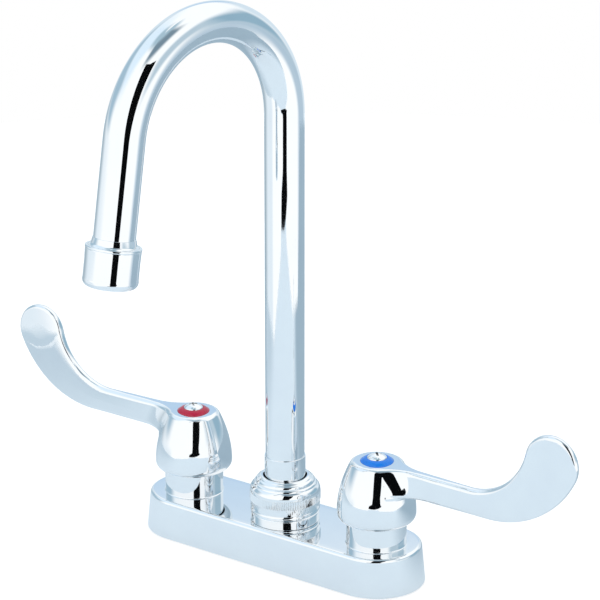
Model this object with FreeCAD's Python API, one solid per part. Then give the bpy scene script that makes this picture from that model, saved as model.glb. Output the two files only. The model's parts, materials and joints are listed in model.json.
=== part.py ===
import FreeCAD, Part
import math
import os

os.makedirs("parts", exist_ok=True)

# Utility sink faucet: a cast base on two threaded shanks, a valve and a wing
# handle at each end, and a swinging gooseneck spout in the middle.
# Millimetres, +Z up. The origin is the middle of the sink deck's top face.
# X runs from the hot valve (-X) to the cold valve (+X) and -Y is the front.

V = FreeCAD.Vector
UP = V(0, 0, 1)
PAST = 1.0                     # how far a cutting shape runs past the face it opens

# Fits
FIT = 0.05                     # pieces screwed or pushed together
RUN = 0.06                     # a shaft that turns in its bore
CLEAR = 0.4                    # moving pieces that pass each other
EDGE = 0.4                     # broken edge of a turned piece

# Base casting
valve_centres = 101.6          # four inch centre distance
deck_end_r = 21.85             # end radius of the base where it meets the sink
top_end_r = 20.1               # end radius at the top: the sides lean in
base_height = 17.8
top_edge_round = 1.5
foot_edge_round = 0.6
base_wall = 3.2
top_wall = 3.6
neck_r = 13.35                 # valve boss that shows between base and handle
neck_height = 13.2             # above the base's top
neck_edge = 0.6
chamber_r = 9.0
chamber_floor = 6.0
thread_pocket_r = 11.1         # where the bonnet nut screws in
thread_pocket_depth = 6.0
inlet_port_r = 4.5
waterway_r = 3.4
waterway_bar_w = 13.0
waterway_bar_drop = 1.0        # below the base's top

# Shanks and what holds them to the sink
shank_r = 10.48                # half inch straight pipe thread, outside
shank_bore_r = 6.2
shank_length = 48.0            # below the sink's top face
shank_socket = 5.0             # depth screwed into the casting
shank_end_chamfer = 1.2
gasket_thickness = 2.5
gasket_gap = 0.3
deck_thickness = 12.0
shank_washer_r = 17.0
shank_washer_t = 1.6
locknut_flats = 30.0
locknut_h = 7.0
relief_gap = 0.6               # below the locknut, where its thread runs out in a groove
relief_w = 1.6
relief_depth = 1.2

# Spout boss and nut
spout_set_back = 1.5           # the spout stands this far behind the valves
boss_flange_inset = 0.2        # the flange is this much smaller than the nut's band
boss_flange_h = 2.2
boss_flange_edge = 0.5
boss_thread_h = 4.2
boss_wall = 4.1                # from the spout's bore to the boss's thread
boss_wall_below = 4.4
spout_bore_floor = 5.0
nut_wall = 3.4                 # from the boss's thread to the knurl
nut_foot_bead_h = 1.9
nut_foot_bead_bulge = 0.3
nut_groove_h = 0.7
nut_groove_depth = 0.5
nut_mouth_edge = 0.38
nut_knurl_raise = 0.3          # the knurl stands out from the smooth band
nut_knurl_low = 5.6            # above the nut's bottom
nut_knurl_high = 9.5
nut_beads = (                  # upwards from the knurl: height, step inwards, bulge
    (3.5, 1.7, 0.55),
    (1.1, 1.0, 0.25),
    (1.8, 1.3, 0.40),
    (0.9, 2.05, 0.32),
)
nut_lip = 0.8                  # inside bevel at the nut's mouth

# Spout
tube_r = 8.73
tube_wall = 1.1
braze = 0.01
bend_r = 47.6
bend_height = 204.2            # centre of the bend above the deck
bend_angle = 170.6
spout_turn = -6.7              # degrees from straight ahead, as it stands
sleeve_wall = 0.44
sleeve_above_nut = 9.6
sleeve_edge = 0.2
tailpiece_gap = 0.8            # between the waterway and the tailpiece
tailpiece_bore_r = 6.0
tube_seat_lift = 3.8           # tube's lower end above the boss
oring_wire_r = 0.75
oring_groove_w = 2.0
oring_from_end = 1.8
oring_from_boss_top = 2.0
ring_thickness = 2.0
ring_groove_depth = 0.6
ring_edge_gap = 1.0            # round the retaining ring, inside the nut
ring_mouth = 2.4
bearing_thickness = 1.0
bearing_edge_gap = 0.5

# Outlet, measured along the leg from the end of the bend
leg_to_collar = 43.8
tube_in_adapter = 4.2
collar_length = 17.1
collar_wall = 0.95
collar_rim_rise = 0.4          # the rim stands out from the collar
collar_rim_h = 1.6
collar_rim_bulge = 0.4
collar_step = 1.6              # height over which the rim falls to the collar
collar_end_round = 3.6
collar_lip = 1.0
adapter_flare = 3.3
adapter_edge = 0.25
adapter_shoulder = 0.7
adapter_wall = 1.76            # from the tube to the adapter's thread
adapter_thread_h = 8.2
insert_ledge = 1.3             # step inside the collar that the insert's flange rests on
screen_ledge = 1.2             # step at the collar's mouth that the screen rests on
washer_thickness = 1.5
washer_hole_r = 6.8
washer_gap = 0.1
insert_flange_h = 1.0
insert_length = 4.0
insert_wall = 1.6
insert_floor = 1.4
insert_hole_r = 1.15
insert_jets = ((2.6, 5), (5.4, 12))     # radius of each ring of jets, and how many
screen_thickness = 0.8
screen_hole_r = 0.7
screen_pitch = 2.3
screen_margin = 0.3

# Valve cartridge
seal_gap = 0.35                # round the seal, inside the cartridge
seal_hole_r = 4.7
seal_height = 2.5
seal_edge = 0.5
disc_height = 3.0
disc_edge = 0.3
disc_port_r = 4.6
disc_hub_r = 1.6
disc_port_angle = 70.0         # each disc has two opposite ports this wide
cartridge_gap = 0.2            # all round in its chamber
cartridge_foot_gap = 0.3
cartridge_bore_r = 7.75
cartridge_roof_gap = 0.6
cartridge_flange_gap = 0.3
cartridge_flange_h = 2.0
cartridge_neck_r = 7.4
cartridge_neck_height = 4.0    # above the base's neck
cartridge_oring_r = 0.75
cartridge_oring_drop = 2.1     # below the flange
window_w = 9.0
window_h = 3.2
stem_r = 4.9
stem_foot_h = 2.9
stem_key_w = 3.0
stem_key_h = 1.2
stem_key_inset = 0.2
spline_r = 4.0
spline_lift = 2.4              # above the cartridge
spline_shoulder = 2.0
spline_below_top = 6.6         # below the handle's top
spline_teeth = 16
spline_depth = 0.35
spline_gap_w = 0.6
stem_oring_r = 0.8
stem_oring_rise = 3.2          # above the cartridge's flange
clip_height = 0.9
clip_r = 6.4
clip_gap = 0.15
clip_groove_depth = 0.7
clip_mouth = 5.2
nut_flats = 21.0
bonnet_head_h = 5.0
valve_travel = 90.0            # quarter turn between shut and open
stop_angle = 30.0              # width of the rib that stops the stem at both ends
stop_play = 2.0                # degrees left at each end
stop_rib_r = 5.9
stop_notch_gap = 0.3

# Handle
handle_turn = 1.36             # degrees towards the front, as both stand
skirt_overlap = 2.1            # the hub hangs this far over the base's neck
skirt_gap = 0.55               # between the hub's skirt and the neck
hub_height = 27.3
hub_lip = 3.6                  # from the skirt's bore out to the bell's widest
hub_widest_rise = 3.6          # above the hub's bottom
hub_shoulder_in = 1.1
hub_shoulder_rise = 13.3
hub_top_r = 11.3
hub_headroom = 2.0             # above the bonnet nut
hub_cavity_r = 10.8
hub_roof_thickness = 10.7
socket_r = 7.0
arm_height = 11.9
reach = 101.6                  # four inch handle, from its axis to its tip
head_r = 12.65
head_rise = 33.4               # above the hub's top
belly_r = 47.0                 # underside curve from the arm to the head
throat_r = 29.0                # upper curve from the arm to the head
web_r = 20.0                   # seen from above, the curve that widens the arm into the hub
arm_half = 2.9
arm_half_tip = 1.9
top_blend_r = 1.4
ring_recess_r = 7.4
ring_recess_depth = 1.6
index_ring_lip = 0.2           # the ring's rim stands this far above the hub's top
index_ring_rise = 1.4          # and the ring climbs this far on to the screw's head
index_ring_bulge = 0.3
index_ring_edge = 0.3
screw_head_r = 4.35
screw_head_side = 3.4
screw_dome_rise = 1.6
screw_r = 1.95
screw_hole_r = 2.2
screw_length = 11.0
cross_w = 1.1
cross_length = 4.8
cross_depth = 1.5

# Radii that follow from one another, outwards and downwards from the tube
sleeve_r = tube_r + sleeve_wall
nut_knurl_r = sleeve_r + CLEAR + nut_mouth_edge + sum(bead[1] for bead in nut_beads)
nut_band_r = nut_knurl_r - nut_knurl_raise
boss_flange_r = nut_band_r - boss_flange_inset
boss_thread_r = nut_knurl_r - nut_wall
spout_bore_r = boss_thread_r - boss_wall
ring_r = boss_thread_r - ring_edge_gap
bearing_r = boss_thread_r - bearing_edge_gap
adapter_thread_r = tube_r + braze + adapter_wall
collar_r = adapter_thread_r + FIT + collar_wall
collar_rim_r = collar_r + collar_rim_rise
collar_bore_r = adapter_thread_r - insert_ledge
collar_mouth_r = collar_bore_r - screen_ledge
gasket_r = deck_end_r - base_wall - gasket_gap
seal_r = cartridge_bore_r - seal_gap
hub_bore_r = neck_r + skirt_gap
hub_widest_r = hub_bore_r + hub_lip
hub_shoulder_r = hub_widest_r - hub_shoulder_in

# Heights worked out from the sizes above
relief_top = -deck_thickness - shank_washer_t - locknut_h - relief_gap
neck_top = base_height + neck_height
waterway_z = chamber_floor + seal_height + 1.5 * disc_height
nut_bottom = base_height + boss_flange_h
nut_top = nut_bottom + nut_knurl_high + sum(bead[0] for bead in nut_beads)
boss_top = nut_bottom + boss_thread_h
ledge = boss_top + ring_thickness + bearing_thickness
tailpiece_bottom = waterway_z + waterway_r + tailpiece_gap
tailpiece_oring_z = (tailpiece_bottom + oring_from_end, boss_top - oring_from_boss_top)
tube_seat = boss_top + tube_seat_lift
sleeve_top = nut_top + sleeve_above_nut
hub_bottom = neck_top - skirt_overlap
hub_top = hub_bottom + hub_height
arm_bottom = hub_top - arm_height
head_top = hub_top + head_rise

# Cartridge heights above the chamber's floor
disc_joint = seal_height + disc_height
stem_bottom = disc_joint + disc_height
cartridge_roof = stem_bottom + stem_foot_h + cartridge_roof_gap
flange_bottom = neck_top - thread_pocket_depth - chamber_floor
flange_top = flange_bottom + cartridge_flange_h
head_seat = neck_top - chamber_floor
cartridge_neck_top = head_seat + cartridge_neck_height
cartridge_oring_z = flange_bottom - cartridge_oring_drop
stem_oring_z = flange_top + stem_oring_rise
clip_low = cartridge_neck_top + clip_gap
spline_start = cartridge_neck_top + spline_lift
spline_top = hub_top - spline_below_top - chamber_floor

# Radii of seals and of what they seal
tailpiece_oring_centre = spout_bore_r - RUN / 2 - oring_wire_r
cartridge_oring_centre = chamber_r - FIT - cartridge_oring_r
stem_oring_centre = stem_r - stem_oring_r
cartridge_r = chamber_r - cartridge_gap
stem_foot_r = cartridge_bore_r - CLEAR

# Distances along the outlet
leg_length = leg_to_collar + tube_in_adapter
collar_end = leg_to_collar + collar_length
thread_end = leg_to_collar + adapter_thread_h
washer_end = thread_end + washer_thickness
insert_seat = washer_end + insert_flange_h
screen_top = collar_end - collar_lip - screen_thickness

valve_x = {"hot": -valve_centres / 2, "cold": valve_centres / 2}
opens_towards = {"hot": 1, "cold": -1}      # sense of the quarter turn that opens each valve


class Outline:
    """A closed outline of lines and arcs, drawn in the plane that place gives."""

    def __init__(self, place, a, b):
        self.place = place
        self.at = (a, b)
        self.first = V(*place(a, b))
        self.last = self.first
        self.edges = []

    def line(self, a, b):
        end = V(*self.place(a, b))
        self.edges.append(Part.makeLine(self.last, end))
        self.last = end
        self.at = (a, b)
        return self

    def arc(self, through, end):
        middle = V(*self.place(*through))
        last = V(*self.place(*end))
        self.edges.append(Part.Arc(self.last, middle, last).toShape())
        self.last = last
        self.at = end
        return self

    def bulge(self, end, height):
        """An arc to end that stands out by height to the right of the way there."""
        da, db = end[0] - self.at[0], end[1] - self.at[1]
        length = math.hypot(da, db)
        through = ((self.at[0] + end[0]) / 2 + height * db / length,
                   (self.at[1] + end[1]) / 2 - height * da / length)
        return self.arc(through, end)

    def face(self):
        if self.last.distanceToPoint(self.first) > 1e-6:
            self.edges.append(Part.makeLine(self.last, self.first))
        return Part.Face(Part.Wire(self.edges))


def half_section(radius, z):
    """Radius and height, for a turned piece's half section."""
    return radius, 0, z


def side_view(s, z):
    return s, 0, z


def plan_view(s, y):
    return s, y, 0


def turned(outline):
    return outline.face().revolve(V(0, 0, 0), UP, 360)


def cylinder(radius, z0, z1, x=0.0, y=0.0):
    return Part.makeCylinder(radius, z1 - z0, V(x, y, z0), UP)


def tube_piece(radius, hole_r, z0, z1, x=0.0, y=0.0):
    return cylinder(radius, z0, z1, x, y).cut(cylinder(hole_r, z0 - PAST, z1 + PAST, x, y))


def block(x0, x1, y0, y1, z0, z1):
    return Part.makeBox(x1 - x0, y1 - y0, z1 - z0, V(x0, y0, z0))


def on_circle(centre, radius, degrees):
    angle = math.radians(degrees)
    return centre[0] + radius * math.cos(angle), centre[1] + radius * math.sin(angle)


def direction(centre, point):
    """Angle in degrees from centre to point."""
    return math.degrees(math.atan2(point[1] - centre[1], point[0] - centre[0]))


def hexagon(flats, z0, z1):
    """Hexagonal prism with the given distance across its flats and bevelled corners."""
    corner = flats / math.sqrt(3)
    points = [V(*on_circle((0, 0), corner, 60 * k), z0) for k in range(7)]
    prism = Part.Face(Part.makePolygon(points)).extrude(V(0, 0, z1 - z0))
    bevel = (corner - flats / 2) * math.tan(math.radians(30))
    cap = Outline(half_section, 0, z0).line(flats / 2, z0).line(corner, z0 + bevel)
    cap.line(corner, z1 - bevel).line(flats / 2, z1).line(0, z1)
    return prism.common(turned(cap))


def sector(radius, hole_r, start, width, z0, z1):
    """Part of a ring, from one angle counterclockwise over the given width."""
    rim = [V(*on_circle((0, 0), 2 * radius, width * share), z0) for share in (0, 0.5, 1)]
    centre = V(0, 0, z0)
    outline = [Part.makeLine(centre, rim[0]), Part.Arc(*rim).toShape(), Part.makeLine(rim[2], centre)]
    wedge = Part.Face(Part.Wire(outline)).extrude(V(0, 0, z1 - z0))
    return turned_by(tube_piece(radius, hole_r, z0, z1).common(wedge), start)


def torus(radius, wire_r, z):
    return Part.makeTorus(radius, wire_r, V(0, 0, z), UP)


def rounded(shape, radius, wanted):
    """Round the edges for which wanted(edge) holds."""
    return shape.makeFillet(radius, [edge for edge in shape.Edges if wanted(edge)])


def bevelled(shape, size, wanted):
    return shape.makeChamfer(size, [edge for edge in shape.Edges if wanted(edge)])


def level(z, outside_of=0.0):
    """Test for edges that lie at height z and reach out past a distance from the Z axis."""
    def test(edge):
        box = edge.BoundBox
        far = max(math.hypot(v.X, v.Y) for v in edge.Vertexes)
        return abs(box.ZMin - z) < 1e-4 and abs(box.ZMax - z) < 1e-4 and far >= outside_of
    return test


def moved(shape, x=0.0, y=0.0, z=0.0):
    copy = shape.copy()
    copy.translate(V(x, y, z))
    return copy


def turned_by(shape, degrees):
    copy = shape.copy()
    copy.rotate(V(0, 0, 0), UP, degrees)
    return copy


def spaced_round(shape, count):
    """The shape repeated at even steps round the Z axis."""
    return [turned_by(shape, 360.0 * k / count) for k in range(count)]


# Base casting

def oblong(low_r, high_r, z0, z1):
    """Block with round ends centred on the two valves, its sides leaning in."""
    half = valve_centres / 2
    section = [V(-half, -low_r, z0), V(-half, low_r, z0), V(-half, high_r, z1),
               V(-half, -high_r, z1), V(-half, -low_r, z0)]
    body = Part.Face(Part.makePolygon(section)).extrude(V(valve_centres, 0, 0))
    for x in (-half, half):
        if abs(low_r - high_r) < 1e-6:
            end = cylinder(low_r, z0, z1, x)
        else:
            end = Part.makeCone(low_r, high_r, z1 - z0, V(x, 0, z0), UP)
        body = body.fuse(end)
    return body.removeSplitter()


def base_shell():
    shell = oblong(deck_end_r, top_end_r, 0, base_height)
    shell = rounded(shell, top_edge_round, level(base_height))
    shell = rounded(shell, foot_edge_round, level(0))
    seat_r = deck_end_r - base_wall
    lean = (deck_end_r - top_end_r) / base_height
    roof = base_height - top_wall
    hollow = oblong(seat_r, seat_r - lean * roof, 0, roof)
    return shell.cut(hollow).cut(oblong(seat_r, seat_r, -PAST, gasket_thickness))


def valve_boss(x):
    return moved(bevelled(cylinder(neck_r, 0, neck_top), neck_edge, level(neck_top)), x)


def valve_hollow(x):
    """Shank socket, inlet port, cartridge chamber and bonnet thread, one above another."""
    chamber_top = neck_top - thread_pocket_depth
    hollow = cylinder(shank_r + FIT, -PAST, shank_socket)
    hollow = hollow.fuse(cylinder(inlet_port_r, shank_socket - PAST, chamber_floor + PAST))
    hollow = hollow.fuse(cylinder(chamber_r, chamber_floor, chamber_top + PAST))
    hollow = hollow.fuse(cylinder(thread_pocket_r, chamber_top, neck_top + PAST))
    return moved(hollow, x)


def spout_boss():
    below = cylinder(spout_bore_r + boss_wall_below, gasket_thickness, base_height)
    flange = cylinder(boss_flange_r, base_height - PAST, nut_bottom)
    flange = rounded(flange, boss_flange_edge, level(nut_bottom))
    thread = cylinder(boss_thread_r, base_height, boss_top)
    return moved(below.fuse(flange).fuse(thread), 0, spout_set_back)


def base_body():
    half = valve_centres / 2
    bar_half = waterway_bar_w / 2
    bar_top = base_height - waterway_bar_drop
    body = base_shell()
    body = body.fuse(block(-half, half, -bar_half, bar_half, gasket_thickness, bar_top))
    body = body.fuse(spout_boss())
    for x in valve_x.values():
        body = body.fuse(valve_boss(x))
    for x in valve_x.values():
        body = body.cut(valve_hollow(x))
    waterway = Part.makeCylinder(waterway_r, valve_centres, V(-half, 0, waterway_z), V(1, 0, 0))
    body = body.cut(waterway)
    bore = cylinder(spout_bore_r, spout_bore_floor, boss_top + PAST, 0, spout_set_back)
    return body.cut(bore).removeSplitter()


def deck_gasket():
    pad = oblong(gasket_r, gasket_r, 0, gasket_thickness)
    for x in valve_x.values():
        pad = pad.cut(cylinder(neck_r + gasket_gap, -PAST, gasket_thickness + PAST, x))
    return pad


# Shanks and what clamps the sink's deck

def shank():
    """Threaded for the locknut above the relief groove and for the supply line below it."""
    rod = bevelled(cylinder(shank_r, -shank_length, shank_socket), shank_end_chamfer, level(-shank_length))
    rod = rod.cut(tube_piece(shank_r + PAST, shank_r - relief_depth, relief_top - relief_w, relief_top))
    return rod.cut(cylinder(shank_bore_r, -shank_length - PAST, shank_socket + PAST))


def shank_washer():
    top = -deck_thickness
    return tube_piece(shank_washer_r, shank_r + gasket_gap, top - shank_washer_t, top)


def locknut():
    top = -deck_thickness - shank_washer_t
    nut = hexagon(locknut_flats, top - locknut_h, top)
    return nut.cut(cylinder(shank_r + FIT, top - locknut_h - PAST, top + PAST))


# Valve cartridge, built with the chamber's floor at height zero

def seat_seal():
    return rounded(tube_piece(seal_r, seal_hole_r, 0, seal_height), seal_edge, level(0))


def with_ports(disc, port_r, heading):
    """Cut two opposite ports, centred on the heading, through a ceramic disc."""
    for side in (0, 180):
        start = heading + side - disc_port_angle / 2
        disc = disc.cut(sector(port_r, disc_hub_r, start, disc_port_angle, -PAST, disc_height + PAST))
    return disc


def fixed_disc():
    """Its ports face front and back, under the moving disc's lands while the valve is shut."""
    disc = cylinder(cartridge_bore_r - cartridge_gap, 0, disc_height)
    disc = bevelled(disc, disc_edge, level(disc_height))
    return moved(with_ports(disc, disc_port_r, 90), z=seal_height)


def moving_disc():
    """Its ports run out to the rim and come over the fixed ones after a quarter turn."""
    disc = with_ports(cylinder(stem_foot_r, 0, disc_height), stem_foot_r + PAST, 0)
    half = stem_key_w / 2
    key = block(-half, half, -chamber_r, chamber_r, disc_height - stem_key_h, disc_height + PAST)
    return moved(disc.cut(key), z=disc_joint)


def stop_rib():
    """Rib under the cartridge's roof, centred towards the back."""
    low = stem_bottom + cartridge_roof_gap
    return sector(cartridge_r, stop_rib_r, 90 - stop_angle / 2, stop_angle, low, cartridge_roof)


def stop_notch(sense):
    """Notch in the stem's foot, as wide as the rib, its play and the valve's travel."""
    width = stop_angle + 2 * stop_play + valve_travel
    behind = stop_angle / 2 + stop_play
    start = 90 - behind - (valve_travel if sense > 0 else 0)
    inner = stop_rib_r - stop_notch_gap
    return sector(stem_foot_r + PAST, inner, start, width, stem_bottom - PAST, cartridge_roof + PAST)


def cartridge_windows():
    """Four openings in the cartridge's wall, level with the waterway."""
    low = waterway_z - chamber_floor - window_h / 2
    window = block(-window_w / 2, window_w / 2, -chamber_r, chamber_r, low, low + window_h)
    return window.fuse(turned_by(window, 90))


def cartridge_body():
    body = cylinder(cartridge_r, cartridge_foot_gap, flange_bottom)
    body = body.fuse(cylinder(thread_pocket_r - cartridge_flange_gap, flange_bottom, flange_top))
    neck = cylinder(cartridge_neck_r, flange_top, cartridge_neck_top)
    body = body.fuse(bevelled(neck, EDGE, level(cartridge_neck_top)))
    body = body.cut(cylinder(cartridge_bore_r, -PAST, cartridge_roof)).fuse(stop_rib())
    body = body.cut(cylinder(stem_r + RUN, cartridge_roof - PAST, cartridge_neck_top + PAST))
    groove_r = cartridge_oring_centre - cartridge_oring_r
    groove = tube_piece(chamber_r, groove_r, cartridge_oring_z - cartridge_oring_r,
                        cartridge_oring_z + cartridge_oring_r)
    return body.cut(cartridge_windows()).cut(groove)


def cartridge_o_ring():
    return torus(cartridge_oring_centre, cartridge_oring_r, cartridge_oring_z)


def stem_foot(sense):
    """Foot with the stop's notch above and the moving disc's key below."""
    foot = cylinder(stem_foot_r, stem_bottom, stem_bottom + stem_foot_h).cut(stop_notch(sense))
    half = stem_key_w / 2 - FIT
    key = block(-half, half, -chamber_r, chamber_r, stem_bottom - stem_key_h + FIT, stem_bottom + FIT)
    return foot.fuse(key.common(cylinder(stem_foot_r - stem_key_inset, 0, stem_bottom + PAST)))


def spline():
    """Toothed upper end that carries the handle."""
    rod = bevelled(cylinder(spline_r, spline_start - PAST, spline_top), EDGE, level(spline_top))
    half = spline_gap_w / 2
    gap = block(spline_r - spline_depth, spline_r + PAST, -half, half,
                spline_start + spline_shoulder, spline_top + PAST)
    for cut in spaced_round(gap, spline_teeth):
        rod = rod.cut(cut)
    return rod


def stem(sense):
    """Keyed to the moving disc below and splined into the handle above."""
    body = stem_foot(sense).fuse(cylinder(stem_r, stem_bottom, spline_start)).fuse(spline())
    body = body.cut(cylinder(screw_r, spline_top - screw_length, spline_top + PAST))
    groove_r = stem_oring_centre - stem_oring_r
    body = body.cut(tube_piece(stem_r + PAST, groove_r, stem_oring_z - stem_oring_r,
                               stem_oring_z + stem_oring_r))
    return body.cut(tube_piece(stem_r + PAST, stem_r - clip_groove_depth, clip_low, clip_low + clip_height))


def stem_o_ring():
    return torus(stem_oring_centre, stem_oring_r, stem_oring_z)


def stem_clip():
    """Open spring ring that sits in the stem's groove above the cartridge."""
    low, high = clip_low + FIT, clip_low + clip_height - FIT
    ring = tube_piece(clip_r, stem_r - clip_groove_depth + FIT, low, high)
    return ring.cut(block(0, clip_r + PAST, -clip_mouth / 2, clip_mouth / 2, low - PAST, high + PAST))


def bonnet_nut():
    plug = cylinder(thread_pocket_r - FIT, flange_top, head_seat)
    nut = plug.fuse(hexagon(nut_flats, head_seat, head_seat + bonnet_head_h))
    return nut.cut(cylinder(cartridge_neck_r + FIT, 0, head_seat + bonnet_head_h + PAST))


# Handle, built with its axis on Z and its arm along +X

def hub_solid():
    """The bell: a rounded lower edge, a full belly and sides that close in to the top."""
    widest_z = hub_bottom + hub_widest_rise
    slant = math.sqrt(0.5)
    through = (hub_bore_r + hub_lip * slant, widest_z - hub_widest_rise * slant)
    bell = Outline(half_section, 0, hub_bottom).line(hub_bore_r, hub_bottom)
    bell.arc(through, (hub_widest_r, widest_z))
    bell.arc((hub_shoulder_r, hub_bottom + hub_shoulder_rise), (hub_top_r, hub_top)).line(0, hub_top)
    return rounded(turned(bell), top_blend_r, level(hub_top))


def toward(centre, target, distance):
    """Point at the given distance from centre in the direction of target."""
    return on_circle(centre, distance, direction(centre, target))


def blade_side():
    """Side view: a level arm that swells into a round head, all curves tangent."""
    head = (reach - head_r, head_top - head_r)
    rise = head[1] - arm_bottom - belly_r
    belly = (head[0] - math.sqrt((belly_r - head_r) ** 2 - rise ** 2), arm_bottom + belly_r)
    drop = head[1] - hub_top - throat_r
    throat = (head[0] - math.sqrt((throat_r + head_r) ** 2 - drop ** 2), hub_top + throat_r)
    joins_belly = toward(belly, head, belly_r)
    joins_throat = toward(head, throat, head_r)
    belly_angle = direction(belly, joins_belly)
    throat_angle = direction(throat, joins_throat)
    head_end = direction(head, joins_throat)
    side = Outline(side_view, 0, arm_bottom).line(belly[0], arm_bottom)
    side.arc(on_circle(belly, belly_r, (belly_angle - 90) / 2), joins_belly)
    side.arc(on_circle(head, head_r, (belly_angle + head_end) / 2), joins_throat)
    side.arc(on_circle(throat, throat_r, (throat_angle - 90) / 2), (throat[0], hub_top))
    return side.line(0, hub_top)


def blade_plan():
    """Seen from above: leaves the hub's rim on a wide curve and thins slowly to the tip."""
    centre_y = arm_half + web_r
    centre = (math.sqrt((hub_top_r + web_r) ** 2 - centre_y ** 2), centre_y)
    rim = toward((0, 0), centre, hub_top_r)
    through = on_circle(centre, web_r, (direction(centre, rim) - 90) / 2)
    end = reach + PAST
    plan = Outline(plan_view, 0, -rim[1]).line(rim[0], -rim[1])
    plan.arc((through[0], -through[1]), (centre[0], -arm_half)).line(end, -arm_half_tip)
    plan.line(end, arm_half_tip).line(centre[0], arm_half).arc(through, rim)
    return plan.line(0, rim[1])


def along_blade(edge):
    """Edges that run along the blade, between its flanks and its top and bottom."""
    box = edge.BoundBox
    middle = edge.valueAt((edge.FirstParameter + edge.LastParameter) / 2)
    return box.XMax - box.XMin > arm_half_tip / 2 and abs(middle.y) > arm_half_tip / 2


def blade():
    slab = moved(blade_side().face(), y=-hub_widest_r).extrude(V(0, 2 * hub_widest_r, 0))
    prism = moved(blade_plan().face().extrude(V(0, 0, head_top)), z=hub_bottom)
    return rounded(slab.common(prism), top_blend_r, along_blade)


def handle_hollow():
    """Everything cut from below and above: skirt, cavity, stem socket, screw and ring seats."""
    bore_top = neck_top + bonnet_head_h + hub_headroom
    roof = hub_top - hub_roof_thickness
    socket_bottom = chamber_floor + spline_start + spline_shoulder
    skirt = Outline(half_section, 0, hub_bottom - PAST).line(hub_bore_r, hub_bottom - PAST)
    skirt.line(hub_bore_r, bore_top).line(hub_cavity_r, roof).line(0, roof)
    hollow = turned(skirt).cut(cylinder(socket_r, socket_bottom, roof))
    hollow = hollow.fuse(cylinder(spline_r + FIT, 0, chamber_floor + spline_top + CLEAR))
    hollow = hollow.fuse(cylinder(screw_hole_r, 0, hub_top + PAST))
    return hollow.fuse(cylinder(ring_recess_r, hub_top - ring_recess_depth, hub_top + PAST))


def handle():
    return hub_solid().fuse(blade()).removeSplitter().cut(handle_hollow())


def index_ring():
    """Fills the recess and climbs in a convex slope to the screw's head."""
    low = hub_top - ring_recess_depth
    rim = hub_top + index_ring_lip
    outer_r = ring_recess_r - FIT
    ring = Outline(half_section, screw_head_r + FIT, low).line(outer_r, low)
    ring.line(outer_r, rim - index_ring_edge).line(outer_r - index_ring_edge, rim)
    return turned(ring.bulge((screw_head_r + FIT, rim + index_ring_rise), index_ring_bulge))


def handle_screw():
    """Deep domed head with a cross recess, on a shaft that screws into the stem."""
    seat = hub_top - ring_recess_depth
    shoulder = seat + screw_head_side
    crown = shoulder + screw_dome_rise
    dome_r = (screw_head_r ** 2 + screw_dome_rise ** 2) / (2 * screw_dome_rise)
    halfway = crown - dome_r + math.sqrt(dome_r ** 2 - screw_head_r ** 2 / 4)
    head = Outline(half_section, 0, seat).line(screw_head_r, seat).line(screw_head_r, shoulder)
    head.arc((screw_head_r / 2, halfway), (0, crown))
    tip = chamber_floor + spline_top - screw_length + PAST
    screw = turned(head).fuse(cylinder(screw_r - FIT, tip, shoulder))
    half = cross_length / 2
    slot = block(-half, half, -cross_w / 2, cross_w / 2, crown - cross_depth, crown + PAST)
    for angle in (45, 135):
        screw = screw.cut(turned_by(slot, angle))
    return screw


# Spout nut and its bearing washer

def spout_nut():
    """Foot bead, groove, grip band with its knurl, and stacked beads up to the mouth."""
    low = nut_bottom
    groove_r = nut_band_r - nut_groove_depth
    groove_z = low + nut_foot_bead_h + nut_groove_h / 2
    outline = Outline(half_section, boss_thread_r + FIT, low).line(nut_band_r - nut_foot_bead_bulge, low)
    outline.bulge((nut_band_r - nut_foot_bead_bulge, low + nut_foot_bead_h), nut_foot_bead_bulge)
    outline.line(groove_r, groove_z).line(nut_band_r, groove_z + nut_groove_h / 2)
    outline.line(nut_band_r, low + nut_knurl_low).line(nut_knurl_r, low + nut_knurl_low + nut_knurl_raise)
    outline.line(nut_knurl_r, low + nut_knurl_high)
    for rise, step, height in nut_beads:
        radius, z = outline.at
        outline.bulge((radius - step, z + rise), height)
    bore_r = sleeve_r + CLEAR
    outline.line(bore_r, nut_top - nut_lip).line(bore_r, ledge).line(boss_thread_r + FIT, ledge)
    return moved(turned(outline), 0, spout_set_back)


def spout_bearing_washer():
    low = boss_top + ring_thickness
    return tube_piece(bearing_r, sleeve_r + CLEAR, low, low + bearing_thickness, 0, spout_set_back)


# Spout, built straight ahead with its column on Z

def pipe(radius, z0, z1):
    """Column, bend and leg of one radius, as solid rod."""
    column = cylinder(radius, z0, bend_height)
    circle = Part.Wire(Part.makeCircle(radius, V(0, 0, bend_height), UP))
    bend = Part.Face(circle).revolve(V(0, -bend_r, bend_height), V(1, 0, 0), bend_angle)
    return column.fuse(bend).fuse(on_leg(cylinder(radius, 0, z1)))


def on_leg(shape):
    """Place a piece built on Z from height zero down the leg from the end of the bend."""
    angle = math.radians(bend_angle)
    copy = shape.copy()
    copy.rotate(V(0, 0, 0), V(1, 0, 0), bend_angle)
    copy.translate(V(0, bend_r * (math.cos(angle) - 1), bend_height + bend_r * math.sin(angle)))
    return copy


def stood(shape):
    """Turn a spout piece to where the spout stands and set it over its boss."""
    return moved(turned_by(shape, spout_turn), 0, spout_set_back)


def spout_tube():
    inner = pipe(tube_r - tube_wall, tube_seat - PAST, leg_length + PAST)
    return pipe(tube_r, tube_seat, leg_length).cut(inner).removeSplitter()


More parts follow.
